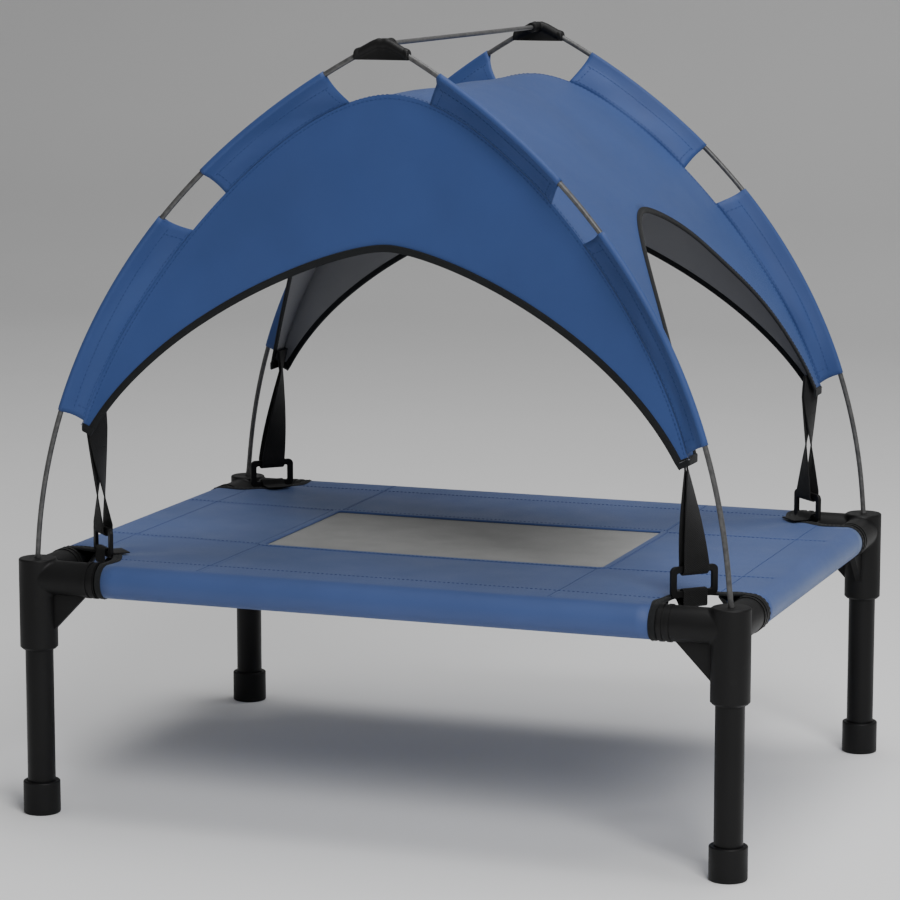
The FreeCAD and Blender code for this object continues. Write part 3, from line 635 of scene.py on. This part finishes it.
def fin(name, corner, ends, phase):
    """A cloth web sewn to the canopy's seam and folded round the pole as a sleeve."""
    sx, sy = CORNERS[corner]
    lines = fin_lines(ends)
    stations = 37
    length_along = (bez(POLE, lines[1]) - bez(POLE, lines[0])).length
    hollow = FIN_HOLLOW / length_along
    rows = []
    for share in spread(stations):
        row = []
        base = fin_frame(lines, share)[3]
        for c, h in fin_section(base):
            f = min(max(c / base, 0.0), 1.0)
            shifted = share + hollow * (1 - 2 * share) * math.sin(math.pi * f)
            origin, across, side, length = fin_frame(lines, shifted)
            free = math.sin(math.pi * min(max((c - FIN_CHANNEL) / (length - FIN_CHANNEL), 0), 1))
            slow = math.sin(2 * math.pi * (share * 1.4 + phase))
            flutter = free * (slow + 0.5 * math.sin(11 * share + 5 * phase))
            reach = c * length / base if c > FIN_CHANNEL else c
            row.append(flipped(origin + across * reach + side * (h + flutter), sx, sy))
        rows.append(row)
    bm = bmesh.new()
    add_patch(bm, rows)
    piece = finish_mesh(f"{name}_cloth_{corner}", bm, [MAT["canopy"]], sharp=2)
    thicken(piece, FIN_CLOTH, offset=0.0)
    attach(piece, "canopy")
    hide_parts(f"{name}_{corner}")
    sew_fin(rows)
    return piece


def sew_fin(rows):
    """Stitch rows along the pole channel, along the seam and inside both end hems, on both faces."""
    last = len(rows[0]) - 1
    for columns in ((7, 8), (1, 2), (last - 7, last - 8), (last - 1, last - 2)):
        line = [row[columns[0]] for row in rows[1:-1]]
        other = last - columns[0]
        normals = [(row[columns[0]] - row[other]).normalized() for row in rows[1:-1]]
        sew("canopy", line, normals, 0.3)
    for i in (2, len(rows) - 3):
        for first, step in ((1, 1), (last - 1, -1)):
            picked = [first + step * k for k in range(7)]
            line = [rows[i][k] for k in picked]
            sew("canopy", line, [(rows[i][k] - rows[i][last - k]).normalized() for k in picked], 0.3)


# ---------------------------------------------------------------- straps

def strap_ply(share, side):
    """Frame on one ply: share 0 at the fold, 1 under the canopy's corner, 2 at its sewn end inside the band."""
    low = RING + Vector((0, 0, FOLD_STRAIGHT_Z))
    if share <= 1:
        centre = low.lerp(STRAP_TOP, share)
        angle = RING_ANGLE + (STRAP_TOP_ANGLE - RING_ANGLE) * share
    else:
        centre = STRAP_TOP.lerp(STRAP_END, share - 1)
        angle = STRAP_TOP_ANGLE + (STRAP_END_ANGLE - STRAP_TOP_ANGLE) * (share - 1)
    gap = 0.75 + (FOLD_R - 0.75) * (1 - min(share, 1) ** 0.8)
    normal = turned(angle + 90) * side
    return centre + normal * gap, turned(angle), normal


def strap_frames():
    """Down one ply, round the ring's top bar and back up the other ply."""
    shares = [2 - k / 5 for k in range(5)] + [1 - k / 21 for k in range(22)]
    frames = [strap_ply(share, 1) for share in shares]
    pivot = RING + Vector((0, 0, RING_TOP_BAR_Z))
    out = turned(RING_ANGLE + 90)
    for i in range(13):
        a = math.pi * i / 12
        normal = out * math.cos(a) - Vector((0, 0, 1)) * math.sin(a)
        frames.append((pivot + normal * FOLD_R, turned(RING_ANGLE), normal))
    return frames + [strap_ply(share, -1) for share in shares[::-1]]


def strap(corner):
    """One length of webbing, folded round the ring's top bar, twisted, and sewn under the canopy's corner."""
    sx, sy = CORNERS[corner]
    frames = [(flipped(o, sx, sy), flipped(a, sx, sy), flipped(b, sx, sy)) for o, a, b in strap_frames()]
    bm = bmesh.new()
    swept(bm, frames, flat_profile(-WEBBING / 2, WEBBING / 2, WEBBING_THICK))
    piece = finish_mesh(f"strap_webbing_{corner}", bm, [MAT["webbing"]], sharp=1.2)
    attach(piece, "canopy")
    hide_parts(f"strap_{corner}")
    for side in (1, -1):
        for o, a, b in (frames[9], frames[-10]):
            points = [o + a * (w * side) for w in (1, 9)]
            sew("black", points, [b, b], 0.62)
    return piece


def rounded_path(points, radius, steps=4):
    """A 2D polyline with each inside corner turned into a small arc."""
    path = [points[0]]
    for a, b, c in zip(points, points[1:], points[2:]):
        before = (a - b).normalized() * min(radius, (a - b).length * 0.45)
        after = (c - b).normalized() * min(radius, (c - b).length * 0.45)
        for i in range(steps + 1):
            t = i / steps
            path.append((b + before) * (1 - t) ** 2 + b * (2 * t * (1 - t)) + (b + after) * t ** 2)
    return path + [points[-1]]


def ring_tab(corner):
    """Webbing that holds the ring's bottom bar to the bed's corner; it opens when the canopy is taken off."""
    sx, sy = CORNERS[corner]
    half_bar = 1.5 + 0.5 + 0.5
    bar_top = RING_BOTTOM_Z + RING_BAR + 1.0
    top = BED_TOP_Z + 1.9
    low = BED_TOP_Z - BED_CLOTH - 1.7
    outline = [Vector(p) for p in (
        (19, top), (half_bar + 2.4, top), (half_bar, bar_top), (-half_bar, bar_top),
        (-half_bar - 0.6, TAB_LOW_Z + 1.2), (half_bar + 1.0, TAB_LOW_Z), (half_bar + 7.0, low), (19, low))]
    path = rounded_path(outline, 2.0)
    inward = turned(RING_ANGLE + 90)
    width = turned(RING_ANGLE)
    frames = []
    for i, p in enumerate(path):
        d = (path[min(i + 1, len(path) - 1)] - path[max(i - 1, 0)]).normalized()
        normal = inward * d.y + Vector((0, 0, -d.x))
        origin = RING + inward * p.x + Vector((0, 0, p.y))
        frames.append((flipped(origin, sx, sy), flipped(width, sx, sy), flipped(normal, sx, sy)))
    bm = bmesh.new()
    swept(bm, frames, flat_profile(-10.5, 10.5, 1.0))
    piece = finish_mesh(f"tab_webbing_{corner}", bm, [MAT["webbing"]], sharp=1.2)
    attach(piece, "bed")
    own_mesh(piece)
    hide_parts(f"ring_tab_{corner}")
    return piece


# ---------------------------------------------------------------- hubs

def pole_line(x):
    slope = POLE[3] - POLE[2]
    return POLE[3] + slope * ((x - POLE[3].x) / slope.x)


def hub_section(x):
    """Half outline (width, z) of the hub at x: round arm above, thin web and flat base below."""
    base = 615.2
    centre = pole_line(max(abs(x), 3.5))
    blend = max(0.0, 1 - abs(x) / 9.0)
    z = centre.z + 0.5 - 1.4 * blend
    r = 4.4 + 0.9 * max(0.0, (abs(x) - 18.6) / 3.4) ** 0.5 - (0.5 if abs(x) > 21.8 else 0)
    top = z + r
    web = 2.1
    foot = 3.1
    outline = []
    for k in range(19):
        level = base + (top - base) * (1 - math.cos(math.pi * k / 18)) / 2
        lobe = math.sqrt(max(r * r - (level - z) ** 2, 0.0))
        thin = web + (foot - web) * math.exp(-(level - base) / 1.1)
        if level > z:
            outline.append((lobe, level))
        else:
            outline.append((max(lobe, thin), level))
    return outline, centre.y


def hub(name, sy):
    """Three-way boot: two sloping arms over a thin web with a flat base, and an arm for the ridge rod."""
    bm = bmesh.new()
    rows = []
    stations = [-22.4 + 44.8 * i / 56 for i in range(57)]
    for x in stations:
        outline, y = hub_section(x)
        loop = [Vector((x, y + w, z)) for w, z in outline] + [Vector((x, y - w, z)) for w, z in outline[::-1]]
        rows.append([flipped(p, 1, sy) for p in loop])
    add_patch(bm, rows, wrap=True, caps=True)
    y = pole_line(5).y
    frames = []
    for share, r in ((0.0, 4.6), (0.35, 4.3), (0.8, 3.9), (0.82, 4.3), (0.98, 4.3), (1.0, 4.0)):
        frames.append((flipped((0, y - 19.0 * share, 627.3), 1, sy), Vector((r, 0, 0)), Vector((0, 0, r))))
    circle = [(math.cos(2 * math.pi * k / 24), math.sin(2 * math.pi * k / 24)) for k in range(24)]
    swept(bm, frames, circle)
    piece = finish_mesh(f"hub_boot_{name}", bm, [MAT["plastic"]], weld=0.0001, sharp=3)
    voxel = piece.modifiers.new("moulding", "REMESH")
    voxel.mode = "VOXEL"
    voxel.voxel_size = 0.42 * MM
    voxel.use_smooth_shade = True
    relax = piece.modifiers.new("fillets", "SMOOTH")
    relax.factor = 0.6
    relax.iterations = 5
    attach(piece, "canopy")
    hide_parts(f"hub_{name}")
    return piece


# ---------------------------------------------------------------- bed

def bed_z(x, y):
    """Height of the cloth: a slight sag, and faint tension folds that run out from each corner cut."""
    sag = BED_SAG * (1 - (x / LEG_X) ** 2) * (1 - (y / LEG_Y) ** 2)
    dx = LEG_X - abs(x)
    dy = LEG_Y - abs(y)
    near = math.exp(-max(math.hypot(dx, dy) - CORNER_DEPTH, 0.0) / 50.0)
    clear = min(1.0, dx / 45) * min(1.0, dy / 45)
    return BED_TOP_Z - sag + BED_FOLD * near * clear * math.sin(13 * math.atan2(dy, dx) + 0.8)


def corner_arc(sx, sy, steps):
    """Points of one hollowed corner cut, from the end rail's sleeve to the long rail's."""
    half = SLEEVE_CUT / math.sqrt(2)
    rise = CORNER_DEPTH - half
    radius = (half ** 2 + rise ** 2) / (2 * rise)
    sweep = math.asin(half / radius)
    points = []
    for t in spread(steps):
        a = sweep * (1 - 2 * t)
        along = (CORNER_DEPTH - radius + radius * math.cos(a)) / math.sqrt(2)
        aside = radius * math.sin(a) / math.sqrt(2)
        points.append(Vector((sx * (LEG_X - along + aside), sy * (LEG_Y - along - aside))))
    return points


def bed_loops():
    """Matching points round the sling's outline and round its window, and where each side and corner starts."""
    outer, inner, parts = [], [], []
    arc_steps = 25
    shoulder = 16.0
    order = (("back_right", 1, 1), ("back_left", -1, 1), ("front_left", -1, -1), ("front_right", 1, -1))
    for name, sx, sy in order:
        arc = corner_arc(sx, sy, arc_steps)
        window = []
        for t in spread(arc_steps):
            if t < 0.5:
                window.append(Vector((sx * WINDOW_X, sy * (WINDOW_Y - shoulder * (1 - 2 * t)))))
            else:
                window.append(Vector((sx * (WINDOW_X - shoulder * (2 * t - 1)), sy * WINDOW_Y)))
        if sx * sy < 0:
            arc = arc[::-1]
            window = window[::-1]
        parts.append((name, len(outer), arc_steps))
        outer += arc
        inner += window
        nxt = {"back_right": (-1, 1), "back_left": (-1, -1), "front_left": (1, -1), "front_right": (1, 1)}[name]
        far = corner_arc(*nxt, arc_steps)
        along_x = name in ("back_right", "front_left")
        goal = far[-1] if along_x else far[0]
        window_goal = Vector((nxt[0] * (WINDOW_X - shoulder), nxt[1] * WINDOW_Y)) if along_x else \
            Vector((nxt[0] * WINDOW_X, nxt[1] * (WINDOW_Y - shoulder)))
        side_steps = 30 if along_x else 22
        parts.append(("side", len(outer) - 1, side_steps))
        for k in range(1, side_steps - 1):
            t = k / (side_steps - 1)
            outer.append(arc[-1].lerp(goal, t))
            inner.append(window[-1].lerp(window_goal, t))
    return outer, inner, parts


def sleeve_section(p):
    """Down round the rail from its top at outline point p, then under to the seam below the cloth."""
    along_x = abs(abs(p.y) - LEG_Y) < 0.01
    out = Vector((0, math.copysign(1, p.y), 0)) if along_x else Vector((math.copysign(1, p.x), 0, 0))
    axis = Vector((p.x, p.y, RAIL_Z))
    reach = UNDER_SEAM.length
    polar = math.atan2(UNDER_SEAM.y, UNDER_SEAM.x)
    tangent = polar + math.acos(SLEEVE_R / reach) - 2 * math.pi
    points = []
    for k in range(25):
        a = math.pi / 2 + (tangent - math.pi / 2) * k / 24
        points.append(axis + out * (SLEEVE_R * math.cos(a)) + Vector((0, 0, SLEEVE_R * math.sin(a))))
    seam = axis + out * UNDER_SEAM.x + Vector((0, 0, UNDER_SEAM.y))
    last = points[-1]
    return points + [last.lerp(seam, k / 5) for k in range(1, 6)]


def bed_sling():
    """The sling's one cloth: top, window and the sleeves round all four rails."""
    outer, inner, parts = bed_loops()
    steps = 17
    ring = []
    for a, b in zip(outer, inner):
        row = []
        for share in spread(steps):
            p = b.lerp(a, share)
            row.append(Vector((p.x, p.y, bed_z(p.x, p.y))))
        ring.append(row)
    bm = bmesh.new()
    layer = bm.loops.layers.uv.verify()
    add_patch(bm, ring + [ring[0]])
    for face in bm.faces:
        for loop in face.loops:
            loop[layer].uv = (loop.vert.co.x * MM, loop.vert.co.y * MM)
    sleeves = {}
    count = len(outer)
    for index, (name, start, length) in enumerate(parts):
        if name == "side":
            picked = [outer[(start + k) % count] for k in range(length)]
            rows = [sleeve_section(p) for p in picked]
            sleeves[index] = rows
            add_patch(bm, rows)
    piece = finish_mesh("bed_cloth_sling", bm, [MAT["bed"]], Vector((0, 0, 100)), weld=0.02, sharp=1.0)
    thicken(piece, BED_CLOTH)
    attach(piece, "bed")
    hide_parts("bed_sling")
    bands = [corner_band(name, start, length, index, outer, ring, sleeves)
             for index, (name, start, length) in enumerate(parts) if name != "side"]
    return piece, bands


def corner_band(name, start, length, index, outer, ring, sleeves):
    """Binding from under one sleeve's end, round it, along the corner cut and round the other sleeve's end."""
    before = sleeves[(index - 1) % 8][-1]
    after = sleeves[(index + 1) % 8][0]
    middle = ring[start:start + length]
    edge = before[::-1] + [row[-1] for row in middle[1:-1]] + after
    away_before = (sleeves[(index - 1) % 8][0][0] - before[0]).normalized()
    away_after = (sleeves[(index + 1) % 8][-1][0] - after[0]).normalized()
    into = [away_before] * len(before) + [(row[-2] - row[-1]).normalized() for row in middle[1:-1]]
    into += [away_after] * len(after)
    frames = edge_frames(edge, softened(into, 5))
    if frames[len(frames) // 2][2].z < 0:
        frames = [(p, a, -b) for p, a, b in frames]
    bm = bmesh.new()
    rows = []
    for i, (p, a, b) in enumerate(frames):
        share = min(i, len(frames) - 1 - i) - len(before) + 4
        wide = min(max(share / 6, 0.0), 1.0)
        profile = flat_profile(-0.6 - 1.0 * wide, 5.0 + 2.0 * wide, 2.5)
        rows.append([p - b * (BED_CLOTH / 2) + a * u + b * v for u, v in profile])
    add_patch(bm, rows, wrap=True, caps=True)
    piece = finish_mesh(f"corner_band_{name}", bm, [MAT["binding"]], sharp=1.2)
    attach(piece, "bed")
    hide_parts(f"corner_binding_{name}")
    sew("black", [p + a * 3.6 for p, a, b in frames], [b for p, a, b in frames], 0.85)
    return piece


def window_hem():
    """The cloth's folded edge round the mesh window."""
    corner_r = 3.0
    path = []
    for sx, sy, start in ((1, 1, 0), (-1, 1, 90), (-1, -1, 180), (1, -1, 270)):
        centre = Vector((sx * (WINDOW_X - corner_r), sy * (WINDOW_Y - corner_r), 0))
        for k in range(5):
            path.append(centre + turned(start + 22.5 * k) * corner_r)
    dense = []
    for a, b in zip(path, path[1:] + path[:1]):
        pieces = max(1, int((b - a).length / 12))
        dense += [a.lerp(b, k / pieces) for k in range(pieces)]
    dense = [Vector((p.x, p.y, bed_z(p.x, p.y) - BED_CLOTH / 2)) for p in dense]
    rows = []
    profile = flat_profile(-0.4, 7.0, 1.9)
    count = len(dense)
    for i, p in enumerate(dense):
        tangent = (dense[(i + 1) % count] - dense[i - 1]).normalized()
        outward = tangent.cross(Vector((0, 0, 1)))
        rows.append([p + outward * a + Vector((0, 0, b)) for a, b in profile])
    bm = bmesh.new()
    add_patch(bm, rows + [rows[0]], wrap=True)
    hem = finish_mesh("window_hem", bm, [MAT["bed"]], sharp=1.2)
    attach(hem, "bed")
    line = []
    for i, p in enumerate(dense + dense[:1]):
        tangent = (dense[(i + 1) % count] - dense[(i - 1) % count]).normalized()
        line.append(p + tangent.cross(Vector((0, 0, 1))) * 5.6)
    sew("bed", line, [Vector((0, 0, 1))] * len(line), 1.0)
    return hem


def panel_seams():
    """The seams that carry the window's edges on to the bed's edges, and the sleeves' stitch lines."""
    up = Vector((0, 0, 1))
    bm = bmesh.new()
    runs = []
    for sx in (1, -1):
        for sy in (1, -1):
            runs.append((Vector((sx * WINDOW_X, sy * (WINDOW_Y + 6), 0)), Vector((sx * WINDOW_X, sy * LEG_Y, 0))))
            runs.append((Vector((sx * (WINDOW_X + 6), sy * WINDOW_Y, 0)), Vector((sx * LEG_X, sy * WINDOW_Y, 0))))
    for start, end in runs:
        points = [start.lerp(end, t) for t in spread(16)]
        points = [Vector((p.x, p.y, bed_z(p.x, p.y))) for p in points]
        side = (end - start).normalized().cross(up)
        frames = [(p, side, up) for p in points]
        swept(bm, frames, [(-1.4, -0.3), (0.9, -0.3), (0.9, 0.06), (0.4, 0.26), (-0.5, 0.24), (-1.4, 0.03)])
        sew("bed", [p + side * 2.6 for p in points], [up] * len(points), 0.14)
    inset = -UNDER_SEAM.x
    reach_x = LEG_X - SLEEVE_CUT - 4
    reach_y = LEG_Y - SLEEVE_CUT - 4
    for side in (1, -1):
        for line in (
            [Vector((x, side * (LEG_Y - inset), 0)) for x in [reach_x * (2 * t - 1) for t in spread(40)]],
            [Vector((side * (LEG_X - inset), y, 0)) for y in [reach_y * (2 * t - 1) for t in spread(30)]],
        ):
            points = [Vector((p.x, p.y, bed_z(p.x, p.y))) for p in line]
            sew("bed", points, [up] * len(points), 0.14)
    seams = finish_mesh("bed_panel_seams", bm, [MAT["bed"]], weld=0.0001, sharp=1.2)
    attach(seams, "bed")
    return seams


def mesh_panel():
    """The grey mesh under the window, following the sling's sag."""
    half_x = WINDOW_X + 8
    half_y = WINDOW_Y + 8
    rows = []
    for s in spread(33):
        x = half_x * (2 * s - 1)
        rows.append([Vector((x, y, bed_z(x, y) - BED_CLOTH - 0.35))
                     for y in [half_y * (2 * t - 1) for t in spread(21)]])
    bm = bmesh.new()
    add_patch(bm, rows)
    piece = finish_mesh("window_mesh", bm, [MAT["mesh"]], Vector((0, 0, 100)), sharp=3)
    thicken(piece, 0.7)
    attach(piece, "bed")
    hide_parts("mesh_panel")
    return piece


# ---------------------------------------------------------------- CAD parts, stage and camera

BACKDROP_X = 9.0
BACKDROP_PROFILE = [(-6.0, 0.0), (3.0, 0.0), (3.8, 0.12), (4.4, 0.5), (4.7, 1.2), (4.8, 5.0)]   # (y, z), metres
LIT_POINT = Vector((0.0, 0.0, 0.4))
WORLD_STRENGTH = 0.22
CAMERA_PLACE = (0.9685, -2.6981, 0.7422)
CAMERA_PITCH_DOWN = 0.1588
CAMERA_TURN = 0.3490
CAMERA_LENS = 139.2
CAMERA_SENSOR = 36


def dress_cad():
    """Gives each shown CAD part its finish."""
    finishes = {"leg_": "steel", "rail_": "steel", "foot_cap": "plastic", "connector": "plastic",
                "ring_front": "plastic", "ring_back": "plastic", "hub_": "plastic", "pole_": "rod",
                "ridge_rod": "rod"}
    others = {"bed_sling": "bed", "mesh_panel": "mesh", "canopy": "canopy", "upper_fin": "canopy",
              "lower_fin": "canopy"}
    for name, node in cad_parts.items():
        kind = next((m for start, m in {**finishes, **others}.items() if name.startswith(start)), "webbing")
        if not node.data.materials:
            node.data.materials.append(MAT[kind])
        for i in range(len(node.data.materials)):
            node.data.materials[i] = MAT[kind]


def stage():
    """The pale floor, which curves up behind the bed."""
    m = Nodes("pale_floor", 0.9, specular=0.1)
    m.colour(m.mix(m.ramp(m.noise(2.0), 0.3, 0.7), (0.84, 0.84, 0.84), (0.86, 0.86, 0.86)))
    bm = bmesh.new()
    add_patch(bm, [[Vector((x, y, z)) for y, z in BACKDROP_PROFILE] for x in (-BACKDROP_X, BACKDROP_X)])
    mesh = bpy.data.meshes.new("backdrop")
    bm.to_mesh(mesh)
    bm.free()
    mesh.materials.append(m.material)
    floor = bpy.data.objects.new("backdrop", mesh)
    bpy.context.scene.collection.objects.link(floor)


def light(name, place, power, size):
    """A square soft light that looks at LIT_POINT."""
    data = bpy.data.lights.new(name, "AREA")
    data.energy = power
    data.size = size
    lamp = bpy.data.objects.new(name, data)
    lamp.location = place
    lamp.rotation_euler = (LIT_POINT - Vector(place)).to_track_quat("-Z", "Y").to_euler()
    bpy.context.scene.collection.objects.link(lamp)


def lights():
    world = bpy.data.worlds.new("studio")
    bpy.context.scene.world = world
    world.use_nodes = True
    world.node_tree.nodes["Background"].inputs["Color"].default_value = (1.0, 1.0, 1.0, 1.0)
    world.node_tree.nodes["Background"].inputs["Strength"].default_value = WORLD_STRENGTH
    light("key", (1.6, -2.0, 2.1), 66, 1.2)
    light("top", (0.4, 0.2, 2.9), 50, 1.6)


def camera():
    data = bpy.data.cameras.new("camera")
    data.lens = CAMERA_LENS
    data.sensor_width = CAMERA_SENSOR
    eye = bpy.data.objects.new("camera", data)
    eye.location = CAMERA_PLACE
    eye.rotation_euler = (math.pi / 2 - CAMERA_PITCH_DOWN, 0.0, CAMERA_TURN)
    bpy.context.scene.collection.objects.link(eye)
    bpy.context.scene.camera = eye


# ---------------------------------------------------------------- assembly

dress_cad()
cover, cover_rows, cover_levels = canopy_cover()
tapes = [door_tape(cover_rows, "front", -1), door_tape(cover_rows, "back", 1),
         side_tape(cover_rows, cover_levels, "right", 1), side_tape(cover_rows, cover_levels, "left", -1),
         corner_hem_tapes()]
for number, corner_name in enumerate(CORNERS):
    fin("upper_fin", corner_name, UPPER_FIN, 0.13 + 0.21 * number)
    fin("lower_fin", corner_name, LOWER_FIN, 0.47 + 0.17 * number)
    strap(corner_name)
    ring_tab(corner_name)
hub("front", -1)
hub("back", 1)
sling, corner_bands = bed_sling()
hem = window_hem()
seams = panel_seams()
mesh_panel()
canopy_stitches = stitch_piece("canopy_stitches", STITCH["canopy"], MAT["thread_canopy"], "canopy")
bed_stitches = stitch_piece("bed_stitches", STITCH["bed"], MAT["thread_bed"], "bed")
canopy_black = [s for s in STITCH["black"] if s[0].z > 230]
bed_black = [s for s in STITCH["black"] if s[0].z <= 230]
tape_stitches = stitch_piece("tape_stitches", canopy_black, MAT["thread_black"], "canopy")
band_stitches = stitch_piece("band_stitches", bed_black, MAT["thread_black"], "bed")
stage()
lights()
camera()
